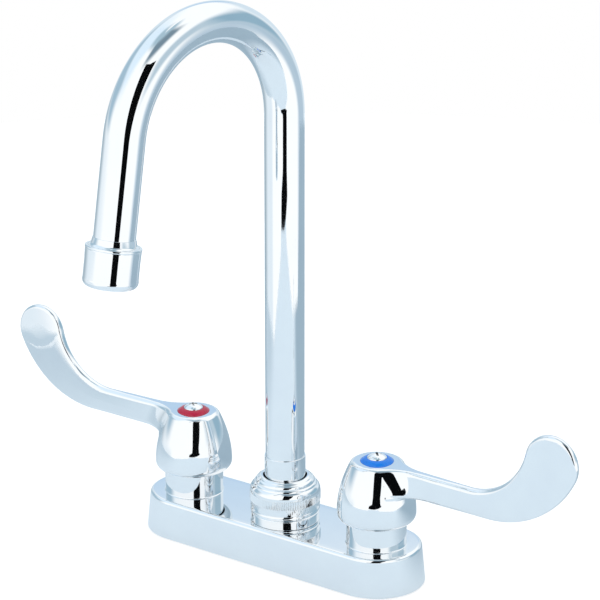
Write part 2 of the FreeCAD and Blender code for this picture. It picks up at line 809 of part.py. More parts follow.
def spout_tailpiece():
    """Turned fitting: sealed foot in the base, a groove for the ring and a socket for the tube."""
    foot = cylinder(spout_bore_r - RUN, tailpiece_bottom, boss_top + PAST)
    body = bevelled(foot, EDGE, level(tailpiece_bottom))
    body = body.fuse(bevelled(cylinder(sleeve_r, boss_top, sleeve_top), sleeve_edge, level(sleeve_top)))
    body = body.cut(cylinder(tailpiece_bore_r, 0, tube_seat + PAST))
    body = body.cut(cylinder(tube_r + braze, tube_seat, sleeve_top + PAST))
    groove_r = tailpiece_oring_centre - oring_wire_r
    half = oring_groove_w / 2
    for z in tailpiece_oring_z:
        body = body.cut(tube_piece(spout_bore_r, groove_r, z - half, z + half))
    groove_r = spout_bore_r - ring_groove_depth
    return body.cut(tube_piece(ring_r, groove_r, boss_top, boss_top + ring_thickness))


def tailpiece_o_rings():
    return Part.makeCompound([torus(tailpiece_oring_centre, oring_wire_r, z) for z in tailpiece_oring_z])


def spout_retaining_ring():
    low, high = boss_top, boss_top + ring_thickness
    ring = tube_piece(ring_r, spout_bore_r - ring_groove_depth + FIT, low, high)
    return ring.cut(block(-ring_mouth / 2, ring_mouth / 2, 0, ring_r + PAST, low - PAST, high + PAST))


# Outlet, built on Z with the water running towards +Z

def outlet_adapter():
    """Brazed on the tube: flares out to the collar and carries its thread."""
    start = leg_to_collar - adapter_flare
    bore = tube_r + braze
    flare = Outline(half_section, bore, start).line(bore + adapter_edge, start)
    through = (bore + adapter_shoulder, leg_to_collar - adapter_flare * 0.3)
    flare.arc(through, (adapter_thread_r, leg_to_collar)).line(adapter_thread_r, thread_end)
    flare.line(tube_r - tube_wall, thread_end).line(tube_r - tube_wall, leg_length).line(bore, leg_length)
    return turned(flare)


def aerator_housing():
    """Collar: a fine rim, straight sides and a rounded mouth."""
    bore = adapter_thread_r + FIT
    rim_end = leg_to_collar + collar_rim_h
    straight = collar_end - collar_end_round
    corner = on_circle((collar_r - collar_end_round, straight), collar_end_round, 45)
    shell = Outline(half_section, bore, leg_to_collar).line(collar_rim_r - collar_rim_bulge, leg_to_collar)
    shell.bulge((collar_rim_r - collar_rim_bulge / 2, rim_end), collar_rim_bulge)
    shell.line(collar_r, rim_end + collar_step).line(collar_r, straight)
    shell.arc(corner, (collar_mouth_r + EDGE, collar_end)).line(collar_mouth_r, collar_end)
    shell.line(collar_mouth_r, collar_end - collar_lip).line(collar_bore_r, collar_end - collar_lip)
    shell.line(collar_bore_r, insert_seat).line(bore, insert_seat)
    return turned(shell)


def aerator_washer():
    return tube_piece(adapter_thread_r - washer_gap, washer_hole_r, thread_end, washer_end)


def aerator_insert():
    """Flanged cup whose floor breaks the flow into fine jets."""
    low = insert_seat + insert_length
    cup = cylinder(adapter_thread_r - washer_gap, washer_end, insert_seat)
    cup = cup.fuse(cylinder(collar_bore_r - washer_gap, insert_seat, low))
    cup = cup.cut(cylinder(collar_bore_r - insert_wall, washer_end - PAST, low - insert_floor))
    for radius, count in insert_jets:
        for hole in spaced_round(cylinder(insert_hole_r, 0, collar_end, radius), count):
            cup = cup.cut(hole)
    return cup


def aerator_screen():
    """Perforated disc that shows in the outlet, with its holes on a triangular grid."""
    disc = cylinder(collar_bore_r - FIT, screen_top, screen_top + screen_thickness)
    limit = collar_mouth_r - screen_hole_r - screen_margin
    row_step = screen_pitch * math.sqrt(3) / 2
    rows = int(limit / row_step) + 1
    holes = []
    for row in range(-rows, rows + 1):
        shift = screen_pitch / 2 if row % 2 else 0.0
        for step in range(-rows - 1, rows + 2):
            x, y = step * screen_pitch + shift, row * row_step
            if math.hypot(x, y) < limit:
                holes.append(cylinder(screen_hole_r, screen_top - PAST, collar_end, x, y))
    return disc.cut(holes)


def save(name, shape):
    shape.exportStep("parts/" + name + ".step")


def save_valve(side, x):
    """The still and the turning pieces of one valve, and its handle."""
    in_chamber = {
        "seat_seal": seat_seal(),
        "fixed_disc": fixed_disc(),
        "moving_disc": moving_disc(),
        "cartridge_body": cartridge_body(),
        "cartridge_o_ring": cartridge_o_ring(),
        "stem": stem(opens_towards[side]),
        "stem_o_ring": stem_o_ring(),
        "stem_clip": stem_clip(),
        "bonnet_nut": bonnet_nut(),
    }
    for name, shape in in_chamber.items():
        save(side + "_" + name, moved(shape, x, 0, chamber_floor))
    for name, shape in {"shank": shank(), "shank_washer": shank_washer(), "locknut": locknut()}.items():
        save(side + "_" + name, moved(shape, x))
    heading = 180 + handle_turn if side == "hot" else -handle_turn
    on_top = {"handle": handle(), "index_ring": index_ring(), "handle_screw": handle_screw()}
    for name, shape in on_top.items():
        save(side + "_" + name, moved(turned_by(shape, heading), x))


def save_spout():
    for name, shape in {
        "spout_tube": spout_tube(),
        "spout_tailpiece": spout_tailpiece(),
        "tailpiece_o_rings": tailpiece_o_rings(),
        "spout_retaining_ring": spout_retaining_ring(),
    }.items():
        save(name, stood(shape))
    for name, shape in {
        "outlet_adapter": outlet_adapter(),
        "aerator_housing": aerator_housing(),
        "aerator_washer": aerator_washer(),
        "aerator_insert": aerator_insert(),
        "aerator_screen": aerator_screen(),
    }.items():
        save(name, stood(on_leg(shape)))


save("base_body", base_body())
save("deck_gasket", deck_gasket())
save("spout_nut", spout_nut())
save("spout_bearing_washer", spout_bearing_washer())
for side, x in valve_x.items():
    save_valve(side, x)
save_spout()
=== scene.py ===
# %% [markdown]
# # A chrome utility sink faucet
# The faucet stands on a sink's deck. A cast base carries a valve under each end,
# each valve has a wing handle, and a gooseneck spout swings in the middle under a
# knurled nut. Everything that shows is polished chrome, apart from a red and a blue
# ring. Polished chrome has no colour of its own to look at: what is seen is the
# room. So this lesson spends its care on true shapes, on even curvature and on what
# stands around the faucet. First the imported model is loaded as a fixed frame.

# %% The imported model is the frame
import json
import math

import bmesh
import bpy
import numpy as np
from mathutils import Matrix, Vector


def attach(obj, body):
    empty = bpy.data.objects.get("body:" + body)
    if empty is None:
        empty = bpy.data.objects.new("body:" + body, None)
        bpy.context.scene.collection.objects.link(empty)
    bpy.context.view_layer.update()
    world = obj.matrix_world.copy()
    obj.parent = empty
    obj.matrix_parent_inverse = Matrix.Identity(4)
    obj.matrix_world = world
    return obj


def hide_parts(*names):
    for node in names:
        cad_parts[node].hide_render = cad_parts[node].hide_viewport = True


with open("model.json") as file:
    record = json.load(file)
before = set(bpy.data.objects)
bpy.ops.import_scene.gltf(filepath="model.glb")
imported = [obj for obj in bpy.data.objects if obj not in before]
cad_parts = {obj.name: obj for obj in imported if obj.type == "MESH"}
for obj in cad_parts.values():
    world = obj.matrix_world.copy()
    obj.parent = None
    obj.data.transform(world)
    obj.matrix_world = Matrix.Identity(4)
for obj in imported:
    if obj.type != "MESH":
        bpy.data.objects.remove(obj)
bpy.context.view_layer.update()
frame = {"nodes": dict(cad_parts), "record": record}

# %% [markdown]
# ## Camera
# The camera stands where the photograph was taken from: 36 degrees round to the
# right, 19 degrees up and 1.15 m away, with a long lens. It comes before the pieces,
# because every later choice is judged through it.

# %% Camera
MM = 0.001
AIM = Vector((9.36, 0.0, 121.81)) * MM
EYE = Vector((647.17, -879.58, 498.67)) * MM
LENS, SENSOR = 158.2, 36.0

camera = bpy.data.objects.new("photo_camera", bpy.data.cameras.new("photo_camera"))
camera.data.lens = LENS
camera.data.sensor_width = SENSOR
camera.location = EYE
camera.rotation_euler = (AIM - EYE).to_track_quat("-Z", "Y").to_euler()
bpy.context.collection.objects.link(camera)
bpy.context.scene.camera = camera
bpy.context.scene.view_settings.view_transform = "Standard"
print("camera distance, mm:", round((AIM - EYE).length / MM))

# %% [markdown]
# ## From formulas to meshes
# A turned or swept piece is a grid of points: rows along its outline, columns round
# it. Neighbouring points make four-sided faces. Where a seam or a pole brings points
# together they are merged, so that every piece is closed. Mirror-like metal shows
# every flaw of the shading, so the normals of small bevels are weighted by area:
# flat faces then stay flat up to their rounded edges.

# %% Grids to meshes
def grid_mesh(name, *grids):
    """One closed mesh from grids of points (rows by columns by x, y, z) in millimetres."""
    points, faces, first = [], [], 0
    for grid in grids:
        rows, columns = grid.shape[:2]
        number = first + np.arange(rows * columns).reshape(rows, columns)
        corners = (number[:-1, :-1], number[:-1, 1:], number[1:, 1:], number[1:, :-1])
        faces.append(np.stack(corners, axis=-1).reshape(-1, 4))
        points.append(grid.reshape(-1, 3))
        first += rows * columns
    mesh = bpy.data.meshes.new(name)
    mesh.from_pydata((np.concatenate(points) * MM).tolist(), [], np.concatenate(faces).tolist())
    work = bmesh.new()
    work.from_mesh(mesh)
    bmesh.ops.remove_doubles(work, verts=work.verts, dist=2e-6)
    bmesh.ops.dissolve_degenerate(work, edges=work.edges, dist=1e-7)
    bmesh.ops.recalc_face_normals(work, faces=work.faces)
    work.to_mesh(mesh)
    work.free()
    return mesh


def through_modifiers(mesh, *modifiers):
    """The mesh after a row of modifiers, each given as its kind and a dictionary of options."""
    work = bpy.data.objects.new("work", mesh)
    bpy.context.collection.objects.link(work)
    for kind, options in modifiers:
        modifier = work.modifiers.new(kind, kind)
        for option, value in options.items():
            setattr(modifier, option, value)
    depsgraph = bpy.context.evaluated_depsgraph_get()
    result = bpy.data.meshes.new_from_object(work.evaluated_get(depsgraph), depsgraph=depsgraph)
    result.name = mesh.name
    bpy.data.objects.remove(work)
    return result


def carved(mesh, join=(), cut=()):
    """Exact Booleans: first the meshes to join are added, then those to cut are taken away."""
    helpers, steps = [], []
    for operation, others in (("UNION", join), ("DIFFERENCE", cut)):
        for other in others:
            helper = bpy.data.objects.new("helper", other)
            bpy.context.collection.objects.link(helper)
            helpers.append(helper)
            steps.append(("BOOLEAN", {"operation": operation, "solver": "EXACT", "object": helper}))
    result = through_modifiers(mesh, *steps)
    for helper in helpers:
        bpy.data.objects.remove(helper)
    return result


def smooth(mesh, crease=35.0):
    """Smooth shading with edges kept sharp past the crease angle, and normals weighted by area."""
    mesh.shade_smooth()
    mesh.set_sharp_from_angle(angle=math.radians(crease))
    return through_modifiers(mesh, ("WEIGHTED_NORMAL", {"keep_sharp": True, "weight": 50}))


def piece(name, mesh, body, slot, *nodes):
    """Puts a finished mesh in the scene: it rides on its body and stands for its CAD nodes."""
    made = bpy.data.objects.new(name, mesh)
    bpy.context.collection.objects.link(made)
    mesh.materials.clear()
    mesh.materials.append(finishes[slot])
    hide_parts(*nodes)
    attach(made, body)
    triangles = sum(len(face.vertices) - 2 for face in mesh.polygons)
    print(f"{name}: {triangles} triangles, stands for {', '.join(nodes)}")
    return made


# %% [markdown]
# ## Outlines
# A turned piece starts as a half section: its radius and height, point by point. Two
# helpers are enough for all of them. One bows a run out into an arc, as on a bead.
# The other eases corners, because no real edge is sharp, and on chrome it is the
# narrow bright line along an eased edge that draws the shape.

# %% Half sections
def bowed(start, end, height, steps=10):
    """Arc from start to end that stands out by height, to the right of the way there."""
    start, end = np.array(start, float), np.array(end, float)
    share = np.linspace(0.0, 1.0, steps + 1)[:, None]
    along = end - start
    right = np.array([along[1], -along[0]]) / np.hypot(*along)
    radius = (np.hypot(*along) ** 2 / 4 + height ** 2) / (2 * abs(height))
    half = math.asin(min(1.0, np.hypot(*along) / 2 / radius))
    swing = (2 * share - 1) * half
    chord = along / np.hypot(*along) * radius * np.sin(swing)
    rise = radius * (np.cos(swing) - math.cos(half)) * math.copysign(1.0, height)
    return (start + end) / 2 + chord + right * rise


def outline(*runs):
    """A half section from single points and from arrays of points, in order."""
    return np.concatenate([np.atleast_2d(np.asarray(run, float)) for run in runs])


def eased(line, reach, least=18.0, steps=6):
    """Rounds each corner of a line that turns by more than the least angle.

    The line is cut at the given reach before and after the corner. Between the cuts
    it follows a curve that leaves and arrives along the line: the corner's point is
    the middle one of a quadratic curve's three.
    """
    line = line[np.concatenate([[True], np.hypot(*np.diff(line, axis=0).T) > 1e-6])]
    along = np.concatenate([[0.0], np.cumsum(np.hypot(*np.diff(line, axis=0).T))])
    way = np.arctan2(np.diff(line[:, 1]), np.diff(line[:, 0]))
    turn = np.degrees(np.abs((np.diff(way) + np.pi) % (2 * np.pi) - np.pi))
    corners = np.flatnonzero(turn > least) + 1
    stops = np.concatenate([[0.0], along[corners], [along[-1]]])
    room = np.minimum(np.diff(stops)[:-1], np.diff(stops)[1:])
    cut = np.minimum(reach, 0.48 * room)
    at = lambda way_point: np.stack([np.interp(way_point, along, line[:, k]) for k in (0, 1)], -1)
    share = np.linspace(0.0, 1.0, steps + 1)[None, :, None]
    before, corner, after = (at(along[corners] + k * cut)[:, None] for k in (-1, 0, 1))
    curve = (1 - share) ** 2 * before + 2 * share * (1 - share) * corner + share ** 2 * after
    place = along[corners][:, None] + (2 * share[..., 0] - 1) * cut[:, None]
    near = np.abs(along[:, None] - along[corners][None]) <= cut[None] + 1e-9
    keep = ~near.any(axis=1)
    points = np.concatenate([line[keep], curve.reshape(-1, 2)])
    order = np.argsort(np.concatenate([along[keep], place.ravel()]), kind="stable")
    return points[order]


def turned(line, columns=128, axis=(0.0, 0.0)):
    """Each point of a half section goes round the axis: x = r cos a, y = r sin a, z = height."""
    angle = np.linspace(0.0, 2 * np.pi, columns + 1)
    radius, height = line[:, :1], line[:, 1:]
    x, y = axis[0] + radius * np.cos(angle), axis[1] + radius * np.sin(angle)
    return np.stack([x, y, height + 0 * angle], axis=-1)


# %% [markdown]
# ## Finishes
# Each finish is a small recipe of nodes. Chrome plate is bright and hard, but a real
# casting keeps a trace of the polishing wheel: the roughness drifts a little, and the
# surface waves by less than a hair. Both come from noise in Object coordinates, so
# they stay on the metal when a handle turns.

# %% Helpers for recipes
def new_recipe(name):
    """A material without nodes, and the tree to put them in."""
    material = bpy.data.materials.new(name)
    material.use_nodes = True
    material.node_tree.nodes.clear()
    return material, material.node_tree


def put(tree, kind, options=None, **inputs):
    """Adds a node, sets its options and fills its sockets: _ in a name stands for a space,
    and a name such as n0 is the socket's number."""
    made = tree.nodes.new(kind)
    for option, value in (options or {}).items():
        setattr(made, option, value)
    for name, value in inputs.items():
        key = int(name[1:]) if name[0] == "n" and name[1:].isdigit() else name.replace("_", " ")
        if isinstance(value, bpy.types.NodeSocket):
            tree.links.new(value, made.inputs[key])
        else:
            made.inputs[key].default_value = value
    return made


def math_node(tree, operation, *values):
    """One arithmetic step between numbers or sockets."""
    inputs = {f"n{k}": value for k, value in enumerate(values)}
    return put(tree, "ShaderNodeMath", {"operation": operation}, **inputs).outputs[0]


def product(tree, first, *others):
    """Numbers and sockets multiplied together."""
    for other in others:
        first = math_node(tree, "MULTIPLY", first, other)
    return first


def map_range(tree, value, low, high, to_low=0.0, to_high=1.0, kind="LINEAR"):
    """A value's place between two limits, carried over to two others."""
    return put(tree, "ShaderNodeMapRange", {"interpolation_type": kind}, Value=value, From_Min=low,
               From_Max=high, To_Min=to_low, To_Max=to_high).outputs[0]


def mixed(tree, share, first, second):
    """A colour between two, each of them a socket or four numbers."""
    return put(tree, "ShaderNodeMix", {"data_type": "RGBA"}, n0=share, n6=first, n7=second).outputs[2]


def drift(tree, vector, scale, low, high, detail=3.0):
    """Noise of the given scale, spread between two values."""
    noise = put(tree, "ShaderNodeTexNoise", Vector=vector, Scale=scale, Detail=detail).outputs[0]
    return map_range(tree, noise, 0.3, 0.7, low, high)


def served(tree, shader, kind="ShaderNodeOutputMaterial"):
    """Ends a recipe: its last shader goes to the output."""
    tree.links.new(shader, tree.nodes.new(kind).inputs["Surface"])


def finish(name, colour, second, rough, metallic=0.0, grain=400.0, bump=0.02, **constants):
    """A finish whose colour drifts between two shades, with drifting roughness and a fine bump."""
    material, tree = new_recipe(name)
    place = put(tree, "ShaderNodeTexCoord").outputs["Object"]
    shade = mixed(tree, drift(tree, place, 60.0, 0.0, 1.0), (*colour, 1.0), (*second, 1.0))
    roughness = drift(tree, place, 25.0, *rough)
    height = put(tree, "ShaderNodeTexNoise", Vector=place, Scale=grain, Detail=4.0).outputs[0]
    normal = put(tree, "ShaderNodeBump", Height=height, Strength=bump, Distance=0.0002).outputs[0]
    shader = put(tree, "ShaderNodeBsdfPrincipled", Base_Color=shade, Roughness=roughness,
                 Normal=normal, Metallic=metallic, **constants)
    served(tree, shader.outputs[0])
    return material


finishes = {
    "chrome": finish("polished_chrome", (0.90, 0.92, 0.93), (0.87, 0.89, 0.91), (0.02, 0.05),
                     metallic=1.0, grain=90.0, bump=0.01),
    "brass": finish("turned_brass", (0.80, 0.62, 0.32), (0.70, 0.52, 0.24), (0.22, 0.38),
                    metallic=1.0, grain=900.0, bump=0.10),
    "black_rubber": finish("moulded_rubber", (0.035, 0.035, 0.037), (0.055, 0.053, 0.05),
                           (0.55, 0.75), grain=1500.0, bump=0.25),
    "ceramic": finish("lapped_ceramic", (0.90, 0.88, 0.82), (0.85, 0.82, 0.75), (0.10, 0.18),
                      grain=2500.0, bump=0.03),
    "white_nylon": finish("moulded_nylon", (0.86, 0.86, 0.83), (0.80, 0.80, 0.77), (0.35, 0.5),
                          grain=700.0, bump=0.08),
    "stainless": finish("satin_stainless", (0.62, 0.62, 0.61), (0.52, 0.52, 0.52), (0.25, 0.35),
                        metallic=1.0, grain=1400.0, bump=0.12),
    "red_ring": finish("red_plastic", (0.56, 0.016, 0.06), (0.48, 0.012, 0.05), (0.14, 0.24),
                       grain=800.0, bump=0.03, Specular_IOR_Level=0.35),
    "blue_ring": finish("blue_plastic", (0.012, 0.24, 0.88), (0.008, 0.20, 0.78), (0.14, 0.24),
                        grain=800.0, bump=0.03, Specular_IOR_Level=0.35),
}
print("finishes:", ", ".join(finishes))

# %% [markdown]
# ## Base casting
# The base is one casting: an oblong block whose sides lean in, a neck over each
# valve and a threaded boss for the spout. It could be a beveled box, but then its
# ends would not be true half circles about the valves. Here a half section is carried
# round the outline, and the necks and the boss are turned and joined to it. The valve
# chambers and the spout's bore are then cut out.

# %% Base casting
HALF_CENTRES = 50.8
BASE_TOP = 17.8
NECK_TOP = 31.0
SET_BACK = 1.5


def round_the_oblong(line, columns=72, runs=30):
    """A half section (distance out, height) carried round the base's outline.

    A point goes half way round one valve, along a straight side, half way round the
    other valve and back: x = shift + r cos a, y = r sin a.
    """
    half_turn = np.radians(np.linspace(-90.0, 90.0, columns + 1))
    side = np.linspace(1.0, -1.0, runs + 1)[1:-1]
    angle = np.concatenate([half_turn, np.full(runs - 1, np.pi / 2), half_turn + np.pi,
                            np.full(runs - 1, 1.5 * np.pi), half_turn[:1]])
    shift = HALF_CENTRES * np.concatenate([np.ones(columns + 1), side, -np.ones(columns + 1), -side, [1.0]])
    radius, height = line[:, :1], line[:, 1:]
    return np.stack([shift + radius * np.cos(angle), radius * np.sin(angle), height + 0 * angle], axis=-1)


block = outline((0, BASE_TOP), (12, BASE_TOP), eased(outline((16, BASE_TOP), (20.1, BASE_TOP), (21.0, 8.65)),
                                                     1.7, steps=9),
                eased(outline((21.1, 7.6), (21.85, 0.0), (20.4, 0.0)), 0.7), (18.65, 0.0), (18.65, 2.5), (0, 2.5))
neck = outline((0, 0.0), (13.35, 0.0), (13.35, 17.0), (13.85, 17.0), (13.85, 17.78),
               bowed((13.85, 17.78), (13.35, 18.3), -0.12, 5),
               eased(outline((13.35, 20), (13.35, NECK_TOP), (11, NECK_TOP)), 0.7), (0, NECK_TOP))
boss = outline((0, 2.5), (12.9, 2.5), (12.9, 15.0),
               eased(outline((15.5, 15.0), (15.5, 20.0), (12.6, 20.0)), 0.6), (12.6, 24.2), (0, 24.2))
chamber = outline((0, -1), (10.53, -1), (10.53, 5), (4.5, 5), (4.5, 6), (9, 6), (9, 25), (11.1, 25),
                  (11.1, 32), (0, 32))
bore = outline((0, 5), (8.5, 5), (8.5, 25.2), (0, 25.2))

casting = carved(
    grid_mesh("base_casting", round_the_oblong(block)),
    join=[grid_mesh("neck", turned(neck, axis=(x, 0.0))) for x in (-HALF_CENTRES, HALF_CENTRES)]
    + [grid_mesh("boss", turned(boss, axis=(0.0, SET_BACK)))],
    cut=[grid_mesh("chamber", turned(chamber, 96, (x, 0.0))) for x in (-HALF_CENTRES, HALF_CENTRES)]
    + [grid_mesh("bore", turned(bore, 96, (0.0, SET_BACK)))])
piece("base_casting", smooth(casting), "base", "chrome", "base_body")

# %% [markdown]
# ## Spout nut
# The nut that holds the spout down is turned from bar: a foot bead, a groove, a plain
# band, a finely knurled band to grip, and three beads stepping in to the mouth. The
# knurl is straight, about 120 ribs round. It could be a bump in the material, but its
# ribs catch the light one by one, so they are real: in those rows the radius also
# rises and falls with the angle.

# %% Spout nut
NUT_RIBS = 124
nut_line = outline(
    (12.65, 20.0), (15.4, 20.0), bowed((15.4, 20.0), (15.4, 21.9), 0.3), (15.15, 22.2), (15.2, 22.45), (15.7, 22.6),
    (15.7, 25.5), (15.85, 25.62), (16.0, 25.8), (16.0, 29.3),
    bowed((15.8, 29.5), (14.3, 33.0), 0.55), bowed((14.3, 33.0), (13.3, 34.1), 0.25),
    bowed((13.3, 34.1), (12.0, 35.9), 0.40), bowed((12.0, 35.9), (9.97, 36.8), 0.32),
    (9.57, 36.0), (9.57, 27.2), (12.65, 27.2), (12.65, 20.0))


def knurled(line, low, high, ribs, depth, per_rib=6):
    """Turned, with ribs between two heights: there the radius loses up to the depth, as the
    cosine of the angle times the number of ribs falls, raised to a rounded crest."""
    grid = turned(line, ribs * per_rib)
    angle = np.linspace(0.0, 2 * np.pi, ribs * per_rib + 1)
    outside = (line[:, 0] > 15.6) & (line[:, 1] >= low) & (line[:, 1] <= high)
    crest = 0.5 + 0.5 * np.cos(ribs * angle)
    loss = depth * (1.0 - crest ** 0.8)
    shrink = 1.0 - outside[:, None] * loss / np.maximum(line[:, :1], 1.0)
    grid[..., :2] *= shrink[..., None]
    return grid + np.array([0.0, SET_BACK, 0.0])


nut = grid_mesh("spout_nut", knurled(nut_line, 25.6, 29.4, NUT_RIBS, 0.32))
piece("grip_nut", smooth(nut, 40.0), "base", "chrome", "spout_nut")

# %% [markdown]
# ## Gooseneck
# The spout is one thin tube: a straight column, a bend of almost half a turn and a
# short leg that leans back out. A curve object with a bevel could draw it, but a
# formula keeps the bend a true arc: a circle of points is turned about the bend's
# centre, and the inner wall is the same with a smaller circle.

# %% Gooseneck
BEND_R, BEND_Z, BEND = 47.6, 204.2, math.radians(170.6)
SPOUT_TURN = math.radians(-6.7)


def stood(grid):
    """The spout as it stands: turned a little to the hot side and set back over its boss."""
    x, y, z = np.moveaxis(grid, -1, 0)
    c, s = math.cos(SPOUT_TURN), math.sin(SPOUT_TURN)
    return np.stack([c * x - s * y, s * x + c * y + SET_BACK, z], axis=-1)


def on_leg(grid):
    """A piece turned about Z from height zero, placed down the leg from the bend's end."""
    x, y, z = np.moveaxis(grid, -1, 0)
    c, s = math.cos(BEND), math.sin(BEND)
    return np.stack([x, -BEND_R + (y + BEND_R) * c - z * s, BEND_Z + (y + BEND_R) * s + z * c], axis=-1)


def gooseneck(radius, low, leg, columns=96):
    """A circle of points along the tube: every row has an angle round the bend, and a
    distance on from there, which is negative on the column."""
    bend = np.linspace(0.0, BEND, 172)
    angle = np.concatenate([np.zeros(16), bend, np.full(6, BEND)])[:, None]
    onward = np.concatenate([np.linspace(low - BEND_Z, 0.0, 17)[:-1], 0 * bend,
                             np.linspace(0.0, leg, 7)[1:]])[:, None]
    turn = np.linspace(0.0, 2 * np.pi, columns + 1)[None]
    x, y = radius * np.cos(turn), radius * np.sin(turn)
    c, s = np.cos(angle), np.sin(angle)
    return np.stack([x + 0 * angle, -BEND_R + (y + BEND_R) * c - onward * s,
                     BEND_Z + (y + BEND_R) * s + onward * c], axis=-1)


outer, inner = gooseneck(8.73, 28.0, 48.0), gooseneck(7.63, 28.0, 48.0)
tube = grid_mesh("gooseneck", stood(np.concatenate([outer, inner[::-1], outer[:1]])))
piece("gooseneck", smooth(tube), "spout", "chrome", "spout_tube")

# %% [markdown]
# ## Spout's foot
# The tube is brazed into a turned fitting. Only its sleeve shows, as a slightly
# thicker ring above the nut. Below it are the groove for the retaining ring and the
# two O-ring grooves, hidden in the base but made all the same.

# %% Spout's foot
foot_line = outline(
    (6.0, 17.2), (8.04, 17.2), (8.44, 17.6), (8.44, 18.0), (6.97, 18.0), (6.97, 20.0), (8.44, 20.0),
    (8.44, 21.2), (6.97, 21.2), (6.97, 23.2), (8.44, 23.2), (8.44, 24.2), (7.9, 24.2), (7.9, 26.2),
    (9.17, 26.2), (9.17, 45.0), eased(outline((9.17, 45.2), (9.17, 46.4), (8.74, 46.4), (8.74, 45.5)), 0.22),
    (8.74, 28.0), (6.0, 28.0), (6.0, 17.2))
foot = grid_mesh("spout_foot", stood(turned(foot_line)))
piece("spout_foot", smooth(foot), "spout", "chrome", "spout_tailpiece")

# %% [markdown]
# ## Outlet
# At the leg's end an adapter flares out to the aerator's collar. The collar has a
# fine rim, straight sides and a rounded mouth. Both are turned on the leg's own axis,
# with the water running towards larger heights, and are then placed on the leg. The
# collar is left plain all round.

# %% Outlet
adapter_line = outline(
    (8.74, 40.5), eased(outline((8.74, 40.5), (8.99, 40.5), (9.44, 42.81)), 0.15),
    bowed((9.44, 42.81), (10.5, 43.8), -0.1, 6), (10.5, 52.0), (7.63, 52.0), (7.63, 48.0), (8.74, 48.0),
    (8.74, 40.5))
collar_line = outline(
    (10.55, 43.8),
    eased(outline((10.9, 43.8), (11.55, 43.8), (11.75, 44.1), (11.75, 44.7), (11.5, 44.95), (11.6, 45.2),
                  (11.45, 50.0)), 0.16, least=14),
    (11.45, 57.3), bowed((11.45, 57.3), (8.4, 60.9), 1.25, 14),
    eased(outline((8.4, 60.9), (8.0, 60.9), (8.0, 59.9)), 0.2), (9.2, 59.9), (9.2, 54.5), (10.55, 54.5),
    (10.55, 43.8))
adapter = grid_mesh("outlet_flare", stood(on_leg(turned(adapter_line))))
collar = grid_mesh("aerator_collar", stood(on_leg(turned(collar_line))))
piece("outlet_flare", smooth(adapter), "spout", "chrome", "outlet_adapter")
piece("aerator_collar", smooth(collar), "spout", "chrome", "aerator_housing")

# %% [markdown]
# ## Wing handle: the solid as a formula
# The handle is the hardest shape. A bell-shaped hub runs out through a hollow web
# into a level arm, which swells up into a round upright blade. All of it flows, so
# no set of turned or swept grids meets neatly. Instead the solid is written as one
# formula that is negative inside and positive outside: the bell, the blade's side
# view and the blade's plan, each with its own true arcs, joined by rounded versions
# of "the larger of" and "the smaller of".

# %% Wing handle: the solid as a formula
HUB_TOP, ARM_BOTTOM = 56.2, 44.3
LIP_Z, LIP_R = 32.5, 3.6
WEB_R, ARM_HALF = 20.0, 2.9
HEAD, HEAD_R = np.array([88.95, 76.95]), 12.65
BELLY, BELLY_R = np.array([57.74, 91.3]), 47.0
THROAT, THROAT_R = np.array([48.13, 85.2]), 29.0


def rounded_both(a, b, radius):
    """Where both a and b are negative, with the edge between them rounded."""
    corner = np.hypot(np.maximum(a + radius, 0.0), np.maximum(b + radius, 0.0))
    return np.minimum(np.maximum(a, b), -radius) + corner


def rounded_either(a, b, radius):
    """Where a or b is negative, with the inner corner between them filled."""
    return -rounded_both(-a, -b, radius)


def ramp(value, low, high):
    """Zero up to low, one from high on, with a soft start and end."""
    share = np.clip((value - low) / (high - low), 0.0, 1.0)
    return share * share * (3.0 - 2.0 * share)


def bell_radius(z):
    """The hub's radius by height: 17.5 at its widest, closing in faster and faster to the top."""
    return 17.5 - 6.2 * (np.clip(z - LIP_Z, 0.0, 25.5) / (HUB_TOP - LIP_Z)) ** 1.94


def bell(out, z):
    """The hub alone: its belly above the widest place, and a round lip below it."""
    lip = np.hypot(np.maximum(out - 13.9, 0.0), LIP_Z - z) - LIP_R
    return np.where(z > LIP_Z, out - bell_radius(z), lip)


def side_view(s, z):
    """The blade's side view: an arm between two levels, a belly and a throat arc, and a round head."""
    from_belly = np.hypot(s - BELLY[0], z - BELLY[1]) - BELLY_R
    below = np.where(s < BELLY[0], ARM_BOTTOM - z, from_belly)
    from_throat = THROAT_R - np.hypot(s - THROAT[0], z - THROAT[1])
    above = np.where(s < THROAT[0], z - HUB_TOP, from_throat)
    head = np.hypot(s - HEAD[0], z - HEAD[1]) - HEAD_R
    low_join = HEAD + HEAD_R * (HEAD - BELLY) / np.hypot(*(HEAD - BELLY))
    high_join = HEAD + HEAD_R * (THROAT - HEAD) / np.hypot(*(THROAT - HEAD))
    chord = low_join - high_join
    past = (chord[0] * (z - high_join[1]) - chord[1] * (s - high_join[0])) / np.hypot(*chord)
    return np.minimum(np.maximum(np.maximum(below, above), past), head)


def plan_view(s, t, z, half):
    """The blade from above, at one height: a strip that widens into the bell on a hollow arc.

    The arc touches both the bell's circle and the strip's side. Its centre is the
    arc's radius away from each, which gives it by Pythagoras.
    """
    hub = bell_radius(z)
    centre_t = ARM_HALF + WEB_R
    centre_s = np.sqrt((hub + WEB_R) ** 2 - centre_t ** 2)
    web = WEB_R - np.hypot(s - centre_s, t - centre_t)
    reach = hub + WEB_R
    beside = (centre_s * t - centre_t * s) / reach
    root = np.maximum(np.where(beside < 0.0, web, np.hypot(s, t) - hub), beside)
    return np.where(s > centre_s, t - half, root)


